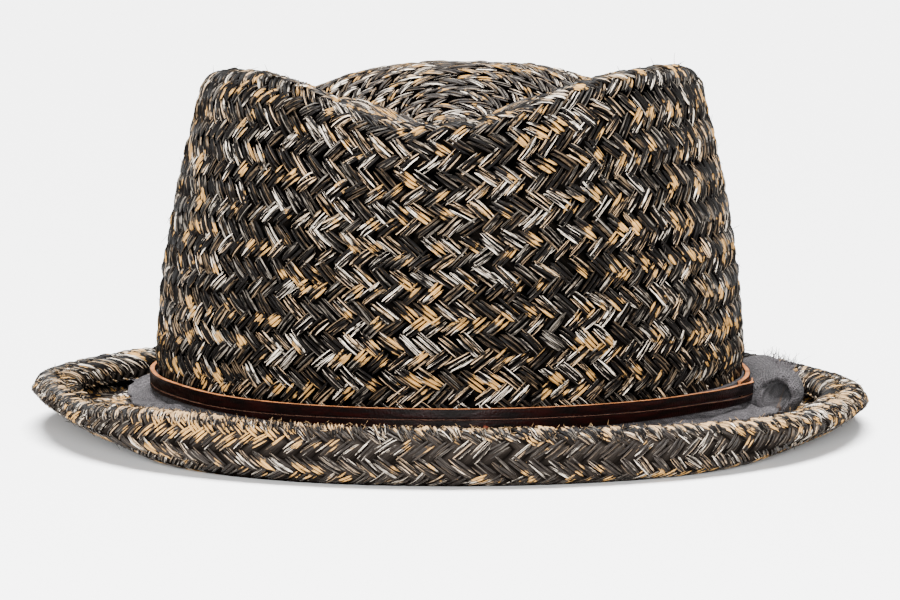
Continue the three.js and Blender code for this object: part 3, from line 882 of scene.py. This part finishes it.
# The band stands against the crown, bends out under the straps, and slopes down to the floor of the brim.
def bandPoint(across, along):
    shape = bandShape
    bearing = -180 + 360 * across
    angle = np.radians(bearing)
    left, right = between(-bearing, *shape["spreadLeftAt"]), between(bearing, *shape["spreadRightAt"])
    edge = ripples(angle, shape["raggedEdge"]) + shape["spreadLeft"] * left + shape["spreadRight"] * right
    low = hatSize["base"] + brimUnderside(bearing, shape["reach"]) + shape["overPlait"]
    start = curveThrough(strapLine, "lowerBottom", bearing) + shape["underStrap"]
    slope = math.radians(shape["slope"])
    turned = math.pi / 2 - slope
    rise, bend = shape["top"] - start, shape["bend"] * turned
    slopeOut = shape["face"] + shape["bend"] * (1 - math.cos(turned))
    slopeUp = start - shape["bend"] * math.sin(turned)
    fall = (slopeUp - low) / math.sin(slope)
    flat = shape["reach"] + edge - slopeOut - fall * math.cos(slope)
    path = along * (rise + bend + fall + flat)
    turn = np.clip((path - rise) / shape["bend"], 0, turned)
    outwards = np.clip(path - rise - bend, 0, None)
    drop = slopeUp - outwards * math.sin(slope) - low
    out = (shape["face"] + shape["bend"] * (1 - np.cos(turn)) + outwards * math.cos(slope)
           + np.clip(outwards - fall, 0, None) * (1 - math.cos(slope)))
    up = np.where(outwards > 0, low + (drop + np.sqrt(drop ** 2 + shape["soften"])) / 2,
                  shape["top"] - np.minimum(path, rise) - shape["bend"] * np.sin(turn))
    up = up + shape["swell"] * between(bearing, *shape["swellAt"]) * smoothstep(outwards, 0, 7)
    up = up + shape["liftLeft"] * left * smoothstep(out, 12, 24)
    loose = smoothstep(path, rise * 0.5, rise + bend)
    up = up + loose * ripples(angle, ((0.28, 23, outwards), (0.22, 37, 3), (0.35, 11, 0.6 * outwards)))
    up = up + loose * shape["looseLift"]
    out = out + (1 - loose) * ripples(angle, ((0.12, 60, 0), (0.1, 29, path)))
    return ovalPoint(bearing, out, np.minimum(up, shape["top"]))


clothBand = bentGrid("cloth_band_woven", 400, 30, bandPoint, (bandShape["length"], bandShape["cut"]))
thicken(clothBand, bandShape["thick"], 0)

rollShape = {
    "out": 13.6, "up": 9.8, "fromBearing": 77, "toBearing": 107, "turns": 1.1, "startAngle": 165,
    "radius": 7.6, "shrink": 1.8, "narrowEnds": 0.10, "lip": 1.1, "lipShare": 0.07, "lipTurn": 120, "taller": 0.26,
    "widthStretch": 1.06, "heightStretch": 0.94, "lowest": 4.9, "length": 54, "cut": 52, "thick": 0.00095,
}
coreShape = {
    "out": 12.6, "up": 8.7, "radius": 6.0, "bulge": 3.0, "bulgeAngle": 218, "bulgeWidth": 0.62,
    "fromBearing": 78, "toBearing": 104, "tubeShare": 0.55, "gatherAngle": 58, "gather": 0.95, "forward": 3.4,
    "hollow": 4.5, "hollowSize": 1.7, "hollowAt": 0.88, "hollowStretch": 2.0, "rings": 34, "ringDepth": 0.16,
    "heightStretch": 0.96, "lowest": 4.4,
    "length": 60, "cut": 42, "thick": 0.00095,
}


# The last turn of the rolled cloth, folded inwards along its front.
def rollPoint(across, along):
    shape = rollShape
    turn = across * shape["turns"]
    angle = np.radians(shape["startAngle"] - 360 * turn)
    fold = np.clip(1 - along / shape["lipShare"], 0, 1) * math.radians(shape["lipTurn"])
    radius = (shape["radius"] - shape["shrink"] * turn) * (1 - shape["narrowEnds"] * np.abs(2 * along - 1) ** 3)
    radius = radius + ripples(angle, ((0.25, 2, 7 * along), (0.16, 2, 21 * along), (0.1, 6, 12 * along)))
    radius = radius - shape["lip"] * (1 - np.cos(fold))
    bearing = lerp(shape["fromBearing"] + ripples(angle, ((0.5, 2, 0), (0.2, 9, 0))), shape["toBearing"], along)
    bearing = bearing - np.degrees(shape["lip"] * np.sin(fold) / 105)       # 105 mm from the hat's middle
    out = shape["out"] + radius * shape["widthStretch"] * np.cos(angle)
    taller = shape["taller"] * (1 - along) ** 2 * np.clip(np.sin(angle), 0, 1)
    up = shape["up"] + radius * (shape["heightStretch"] + taller) * np.sin(angle) + 0.35 * np.sin(9 * along)
    return ovalPoint(bearing, out, np.maximum(up, shape["lowest"]))


# The twisted end of the band inside that turn: its front closes in rings that gather at one side.
def corePoint(across, along):
    shape = coreShape
    angle = 2 * math.pi * across
    cap = np.clip((along - shape["tubeShare"]) / (1 - shape["tubeShare"]), 0, 1)
    towards = math.radians(shape["gatherAngle"])
    aside = (angle - math.radians(shape["bulgeAngle"]) + math.pi) % (2 * math.pi) - math.pi
    wide = (shape["radius"] + shape["bulge"] * np.exp(-(aside / shape["bulgeWidth"]) ** 2)
            + 0.25 * np.sin(3 * angle + 8 * along))
    radius = wide * (1 - cap)
    gathered = shape["gather"] * shape["radius"] * cap
    right = radius * np.cos(angle) + gathered * math.cos(towards)
    upward = radius * np.sin(angle) + gathered * math.sin(towards)
    fromFold = np.hypot(right - shape["radius"] * math.cos(towards), upward - shape["radius"] * math.sin(towards))
    forward = shape["forward"] * np.sin(np.clip(cap * 2.0, 0, 1) * math.pi / 2) * smoothstep(fromFold, 1.6, 7.6)
    forward = (forward + shape["ringDepth"] * np.sin(shape["rings"] * cap + 1.5 * np.sin(angle))
               * smoothstep(cap, 0, 0.3))
    hollowAt = shape["radius"] * shape["hollowAt"]
    fromRight, fromUp = right - hollowAt * math.cos(towards), upward - hollowAt * math.sin(towards)
    sideways = fromRight * math.sin(towards) - fromUp * math.cos(towards)
    near = np.hypot(sideways / shape["hollowStretch"], fromRight * math.cos(towards) + fromUp * math.sin(towards))
    forward = forward - shape["hollow"] * np.exp(-(near / shape["hollowSize"]) ** 2)
    bearing = lerp(shape["toBearing"], shape["fromBearing"], np.clip(along / shape["tubeShare"], 0, 1)) - forward
    up = shape["up"] + upward * shape["heightStretch"]
    return ovalPoint(bearing, shape["out"] + right, np.maximum(up, shape["lowest"]))


clothRoll = bentGrid("cloth_roll_woven", 120, 72, rollPoint, (rollShape["cut"], rollShape["length"]))
clothCore = bentGrid("cloth_roll_core", 96, 120, corePoint, (coreShape["cut"], coreShape["length"]))
for cloth, shape in ((clothRoll, rollShape), (clothCore, coreShape)):
    cleanPiece(cloth, outwards=True)
    thicken(cloth, shape["thick"], 0)
rollColours = (0.006, 0.0052, 0.0057, 1), (0.044, 0.039, 0.042, 1)
bandPaint = clothMaterial("cotton_band", (0.008, 0.0068, 0.0075, 1), (0.064, 0.057, 0.061, 1))
finishPiece(clothBand, [bandPaint], "cloth_band")
finishPiece(clothRoll, [clothMaterial("cotton_roll", *rollColours)], "cloth_roll")
finishPiece(clothCore, [clothMaterial("cotton_core", *rollColours, stainAt=34)], "cloth_roll")
print("cloth band and roll made")


# Leather: dark red-brown faces, a pale cut along the top edge, scuffs where it was rubbed.
leatherFaces = (0.0012, 0.0004, 0.0003, 1), (0.0065, 0.0011, 0.0009, 1)


def leatherMaterial(name, cut, cutFrom):
    material, shader = startMaterial(name, {"Specular IOR Level": 0.04})
    along, around = split(pattern())
    place = addNode("TexCoord").outputs["Object"]
    grain, rubbed = noise(place, 1400.0, 3.0, 0.6), noise(place, 160.0, 4.0, 0.65)
    streaks = stretchedNoise(times(along, 0.12), times(around, 22.0), 0.0, 3.0)
    upwards = maths("COSINE", times(minus(around, 0.25), 2 * math.pi))
    edge = ramp(timesPlus(minus(rubbed, 0.5), 0.06, upwards), cutFrom, cutFrom + 0.03)
    colour = mixColour(ramp(streaks, 0.35, 0.7), *leatherFaces)
    colour = mixColour(times(ramp(rubbed, 0.66, 0.74), 0.7), colour, (0.22, 0.055, 0.03, 1))
    colour = mixColour(edge, colour, scaleColour(cut, ramp(rubbed, 0.3, 0.6, 0.45, 1.05)))
    feed(shader, {"Base Color": colour, "Roughness": ramp(streaks, 0.3, 0.7, 0.5, 0.32),
                  "Normal": bump(timesPlus(streaks, 0.7, grain), 0.5, 0.0003)})
    return material


strapShape = {
    "inner": 4.0, "outer": 5.5, "stepOut": 1.8, "stepSpan": 24, "corner": 0.22,
    "columns": 420, "waves": 19, "waveSize": 0.06, "length": 590,
}
strapEnds = {
    "strap_upper": {"start": 72, "overlap": 14, "droop": 1.9},
    "strap_lower": {"start": 74, "overlap": 10, "droop": 0.3},
}


def strapPiece(name, which, material):
    shape, ends = strapShape, strapEnds[name]
    columns, span = shape["columns"], 360 + ends["overlap"]

    def strapPoint(across, along):
        # the first and last columns close the ends
        column = across * columns
        size = np.clip(np.minimum(column, columns - column), 0, 1)
        turn = np.clip((column - 1) / (columns - 2), 0, 1) * span
        bearing = ends["start"] + turn
        step = shape["stepOut"] * smoothstep(turn, 360 - shape["stepSpan"], 360 - ends["overlap"] / 2)
        angle = 2 * math.pi * along
        middle, half = (shape["inner"] + shape["outer"]) / 2, (shape["outer"] - shape["inner"]) / 2
        out = (middle + step + half * signedPower(np.cos(angle), shape["corner"]) * size
               + shape["waveSize"] * np.sin(np.radians(bearing * shape["waves"])))
        top, bottom = (curveThrough(strapLine, which + edge, bearing) for edge in ("Top", "Bottom"))
        droop = ends["droop"] * smoothstep(turn, 352, span)
        up = (top + bottom) / 2 + (top - bottom) / 2 * signedPower(np.sin(angle), shape["corner"]) * size - droop
        return ovalPoint(bearing, out, up)

    strap = bentGrid(name + "_leather", columns, 28, strapPoint, (shape["length"], 1))
    cleanPiece(strap, outwards=True)
    bpy.ops.object.shade_smooth_by_angle(angle=math.radians(35))
    finishPiece(strap, [material], name)


strapPiece("strap_upper", "upper", leatherMaterial("leather_upper", (0.40, 0.15, 0.055, 1), 0.90))
strapPiece("strap_lower", "lower", leatherMaterial("leather_lower", (0.34, 0.17, 0.11, 1), 0.93))
print("straps made")


# Loose fibres: thin tubes that leave a surface, bend and taper.
hairShape = {"segments": 5, "sides": 3, "taper": 0.75}


def makeHairTemplate():
    deselectAll()
    bpy.ops.mesh.primitive_grid_add(x_subdivisions=hairShape["segments"], y_subdivisions=hairShape["sides"], size=1)
    return startPiece("hair_template")


def hairPiece(name, roots, towards, curl, lengths, radius, material, wear=0.3):
    flat = np.array([vertex.co[:2] for vertex in hairTemplate.data.vertices])
    share, turn = flat[None, :, 0] + 0.5, (flat[None, :, 1] + 0.5) * 2 * math.pi
    count = len(roots)
    towards = unit(towards)
    side = unit(np.cross(towards, draw.normal(0, 1, (count, 3))))
    other = np.cross(towards, side)
    travel = share * lengths[:, None]
    bent = curl[:, None] * lengths[:, None] * share ** 2
    thick = radius * (1 - share ** 3 * hairShape["taper"])
    ring = side[:, None, :] * np.cos(turn)[..., None] + other[:, None, :] * np.sin(turn)[..., None]
    points = (roots[:, None, :] + towards[:, None, :] * travel[..., None] + side[:, None, :] * bent[..., None]
              + ring * thick[..., None])
    piece = joinedCopies(name, hairTemplate.data, points,
                         {"seed": draw.random(count), "wear": draw.uniform(0.5, 1.5, count) * wear})
    cleanPiece(piece, weld=0.000001, holeSides=8, outwards=True)
    return finishPiece(piece, [material])


def fieldHairs(name, field, count, rows, height, lean, lengths, radius, straw, wear=0.3, reach=180):
    bearing, row = draw.uniform(-reach, reach, count), draw.uniform(*rows, count)
    roots = onField(field, bearing, row, np.full(count, height))
    normal = onField(field, bearing, row, np.full(count, height + 1)) - roots
    aside = np.cross(normal, draw.normal(0, 1, (count, 3)))
    towards = normal * draw.uniform(lean * 0.6, lean * 1.4, count)[:, None] + aside
    keep = roots[:, 2] > 2.5
    hairPiece(name, roots[keep], towards[keep], draw.normal(0, 0.25, count)[keep],
              draw.uniform(*lengths, count)[keep], radius, straw, wear)


hairTemplate = makeHairTemplate()
fieldHairs("crown_loose_fibres", crownField, count=520, rows=(0.3, 9.4), height=0.3, lean=0.35,
           lengths=(2.0, 4.5), radius=0.09, straw=bladeStraw)
fieldHairs("brim_loose_fibres", curlField, count=1000, rows=(4.6, 5.5), height=0.5, lean=0.25,
           lengths=(1.0, 2.4), radius=0.10, straw=edgeStraw, wear=1.0, reach=100)
fieldHairs("brim_loose_fibres_low", curlField, count=300, rows=(3.2, 4.6), height=0.3, lean=0.25,
           lengths=(0.8, 2.0), radius=0.09, straw=bladeStraw)

threadShape = {
    "frayCount": 150, "frayLengths": (1.0, 2.6), "frayRadius": 0.11,
    "topCount": 90, "topLean": (0.25, 0, 1.0), "topLengths": (1.5, 4.4), "topRadius": 0.15,
}
threadPaint = clothMaterial("cotton_threads", (0.03, 0.026, 0.029, 1), (0.12, 0.108, 0.115, 1))
count = threadShape["frayCount"]
shares = draw.uniform(0, 1, (2, count))[1]            # the first row isn't used: it keeps the later draws as they are
roots = bandPoint(shares, np.ones(count))
towards = unit(roots * np.array([1, 1, 0])) + draw.normal(0, 0.5, (count, 3)) * [1, 1, 0.25]
bandThreads = hairPiece("cloth_band_threads", roots, towards, draw.normal(0, 0.5, count),
                        draw.uniform(*threadShape["frayLengths"], count), threadShape["frayRadius"],
                        threadPaint)
count = threadShape["topCount"]
along = draw.uniform(0.05, 0.8, count)
roots = rollPoint(draw.uniform(0.17, 0.31, count), along)
towards = np.array(threadShape["topLean"]) + draw.normal(0, 0.55, (count, 3))
towards[:, 2] = np.abs(towards[:, 2]) + 0.15
rollThreads = hairPiece("cloth_roll_threads", roots, towards, draw.normal(0, 0.9, count),
                        draw.uniform(*threadShape["topLengths"], count), threadShape["topRadius"],
                        threadPaint)
bpy.data.objects.remove(hairTemplate)
print("loose fibres and threads made")


def addInStudio(name, data, place, target):
    added = addObject(name, data)
    added.location = place
    added.rotation_euler = (Vector(target) - added.location).to_track_quat("-Z", "Y").to_euler()
    return added


view = {"target": (0, 0, 0.0363), "distance": 1.2, "elevation": 5.16, "lens": 162.4}
elevation = math.radians(view["elevation"])
cameraData = bpy.data.cameras.new("camera")
cameraData.lens = view["lens"]
cameraData.sensor_width = 36
cameraPlace = Vector(view["target"]) + Vector((0, -math.cos(elevation), math.sin(elevation))) * view["distance"]
bpy.context.scene.camera = addInStudio("camera", cameraData, cameraPlace, view["target"])

lightTable = {                 # kind, place, aim, strength, and size in metres or, for the sun, angle
    "key": ("AREA", (0.0, -1.6, 0.22), (0, 0, 0.05), 90, 0.45),
    "left": ("AREA", (-1.3, -0.5, 0.4), (0, 0, 0.05), 7, 0.7),
    "right": ("AREA", (1.3, -0.5, 0.4), (0, 0, 0.05), 3, 0.7),
    "overhead": ("SUN", (0, 0.3, 2), (0, 0, 0), 19.0, math.radians(42)),       # a wide even softbox over the floor
}
for name, (kind, place, aim, strength, size) in lightTable.items():
    light = bpy.data.lights.new(name, kind)
    light.energy = strength
    if kind == "SUN":
        light.angle = size
    else:
        light.size = size
    addInStudio("light_" + name, light, place, aim)

world = bpy.data.worlds.new("studio")
world.use_nodes = True
background = world.node_tree.nodes["Background"]
background.inputs["Color"].default_value = (1, 1, 1, 1)
background.inputs["Strength"].default_value = 0.16
bpy.context.scene.world = world

deselectAll()
bpy.ops.mesh.primitive_plane_add(size=60)
floor = startPiece("floor")
floorPaint, _ = startMaterial("pale_floor", {
    "Base Color": (0.93, 0.93, 0.93, 1), "Roughness": 0.9, "Specular IOR Level": 0.1})
floor.data.materials.append(floorPaint)
print("camera, light and floor set")
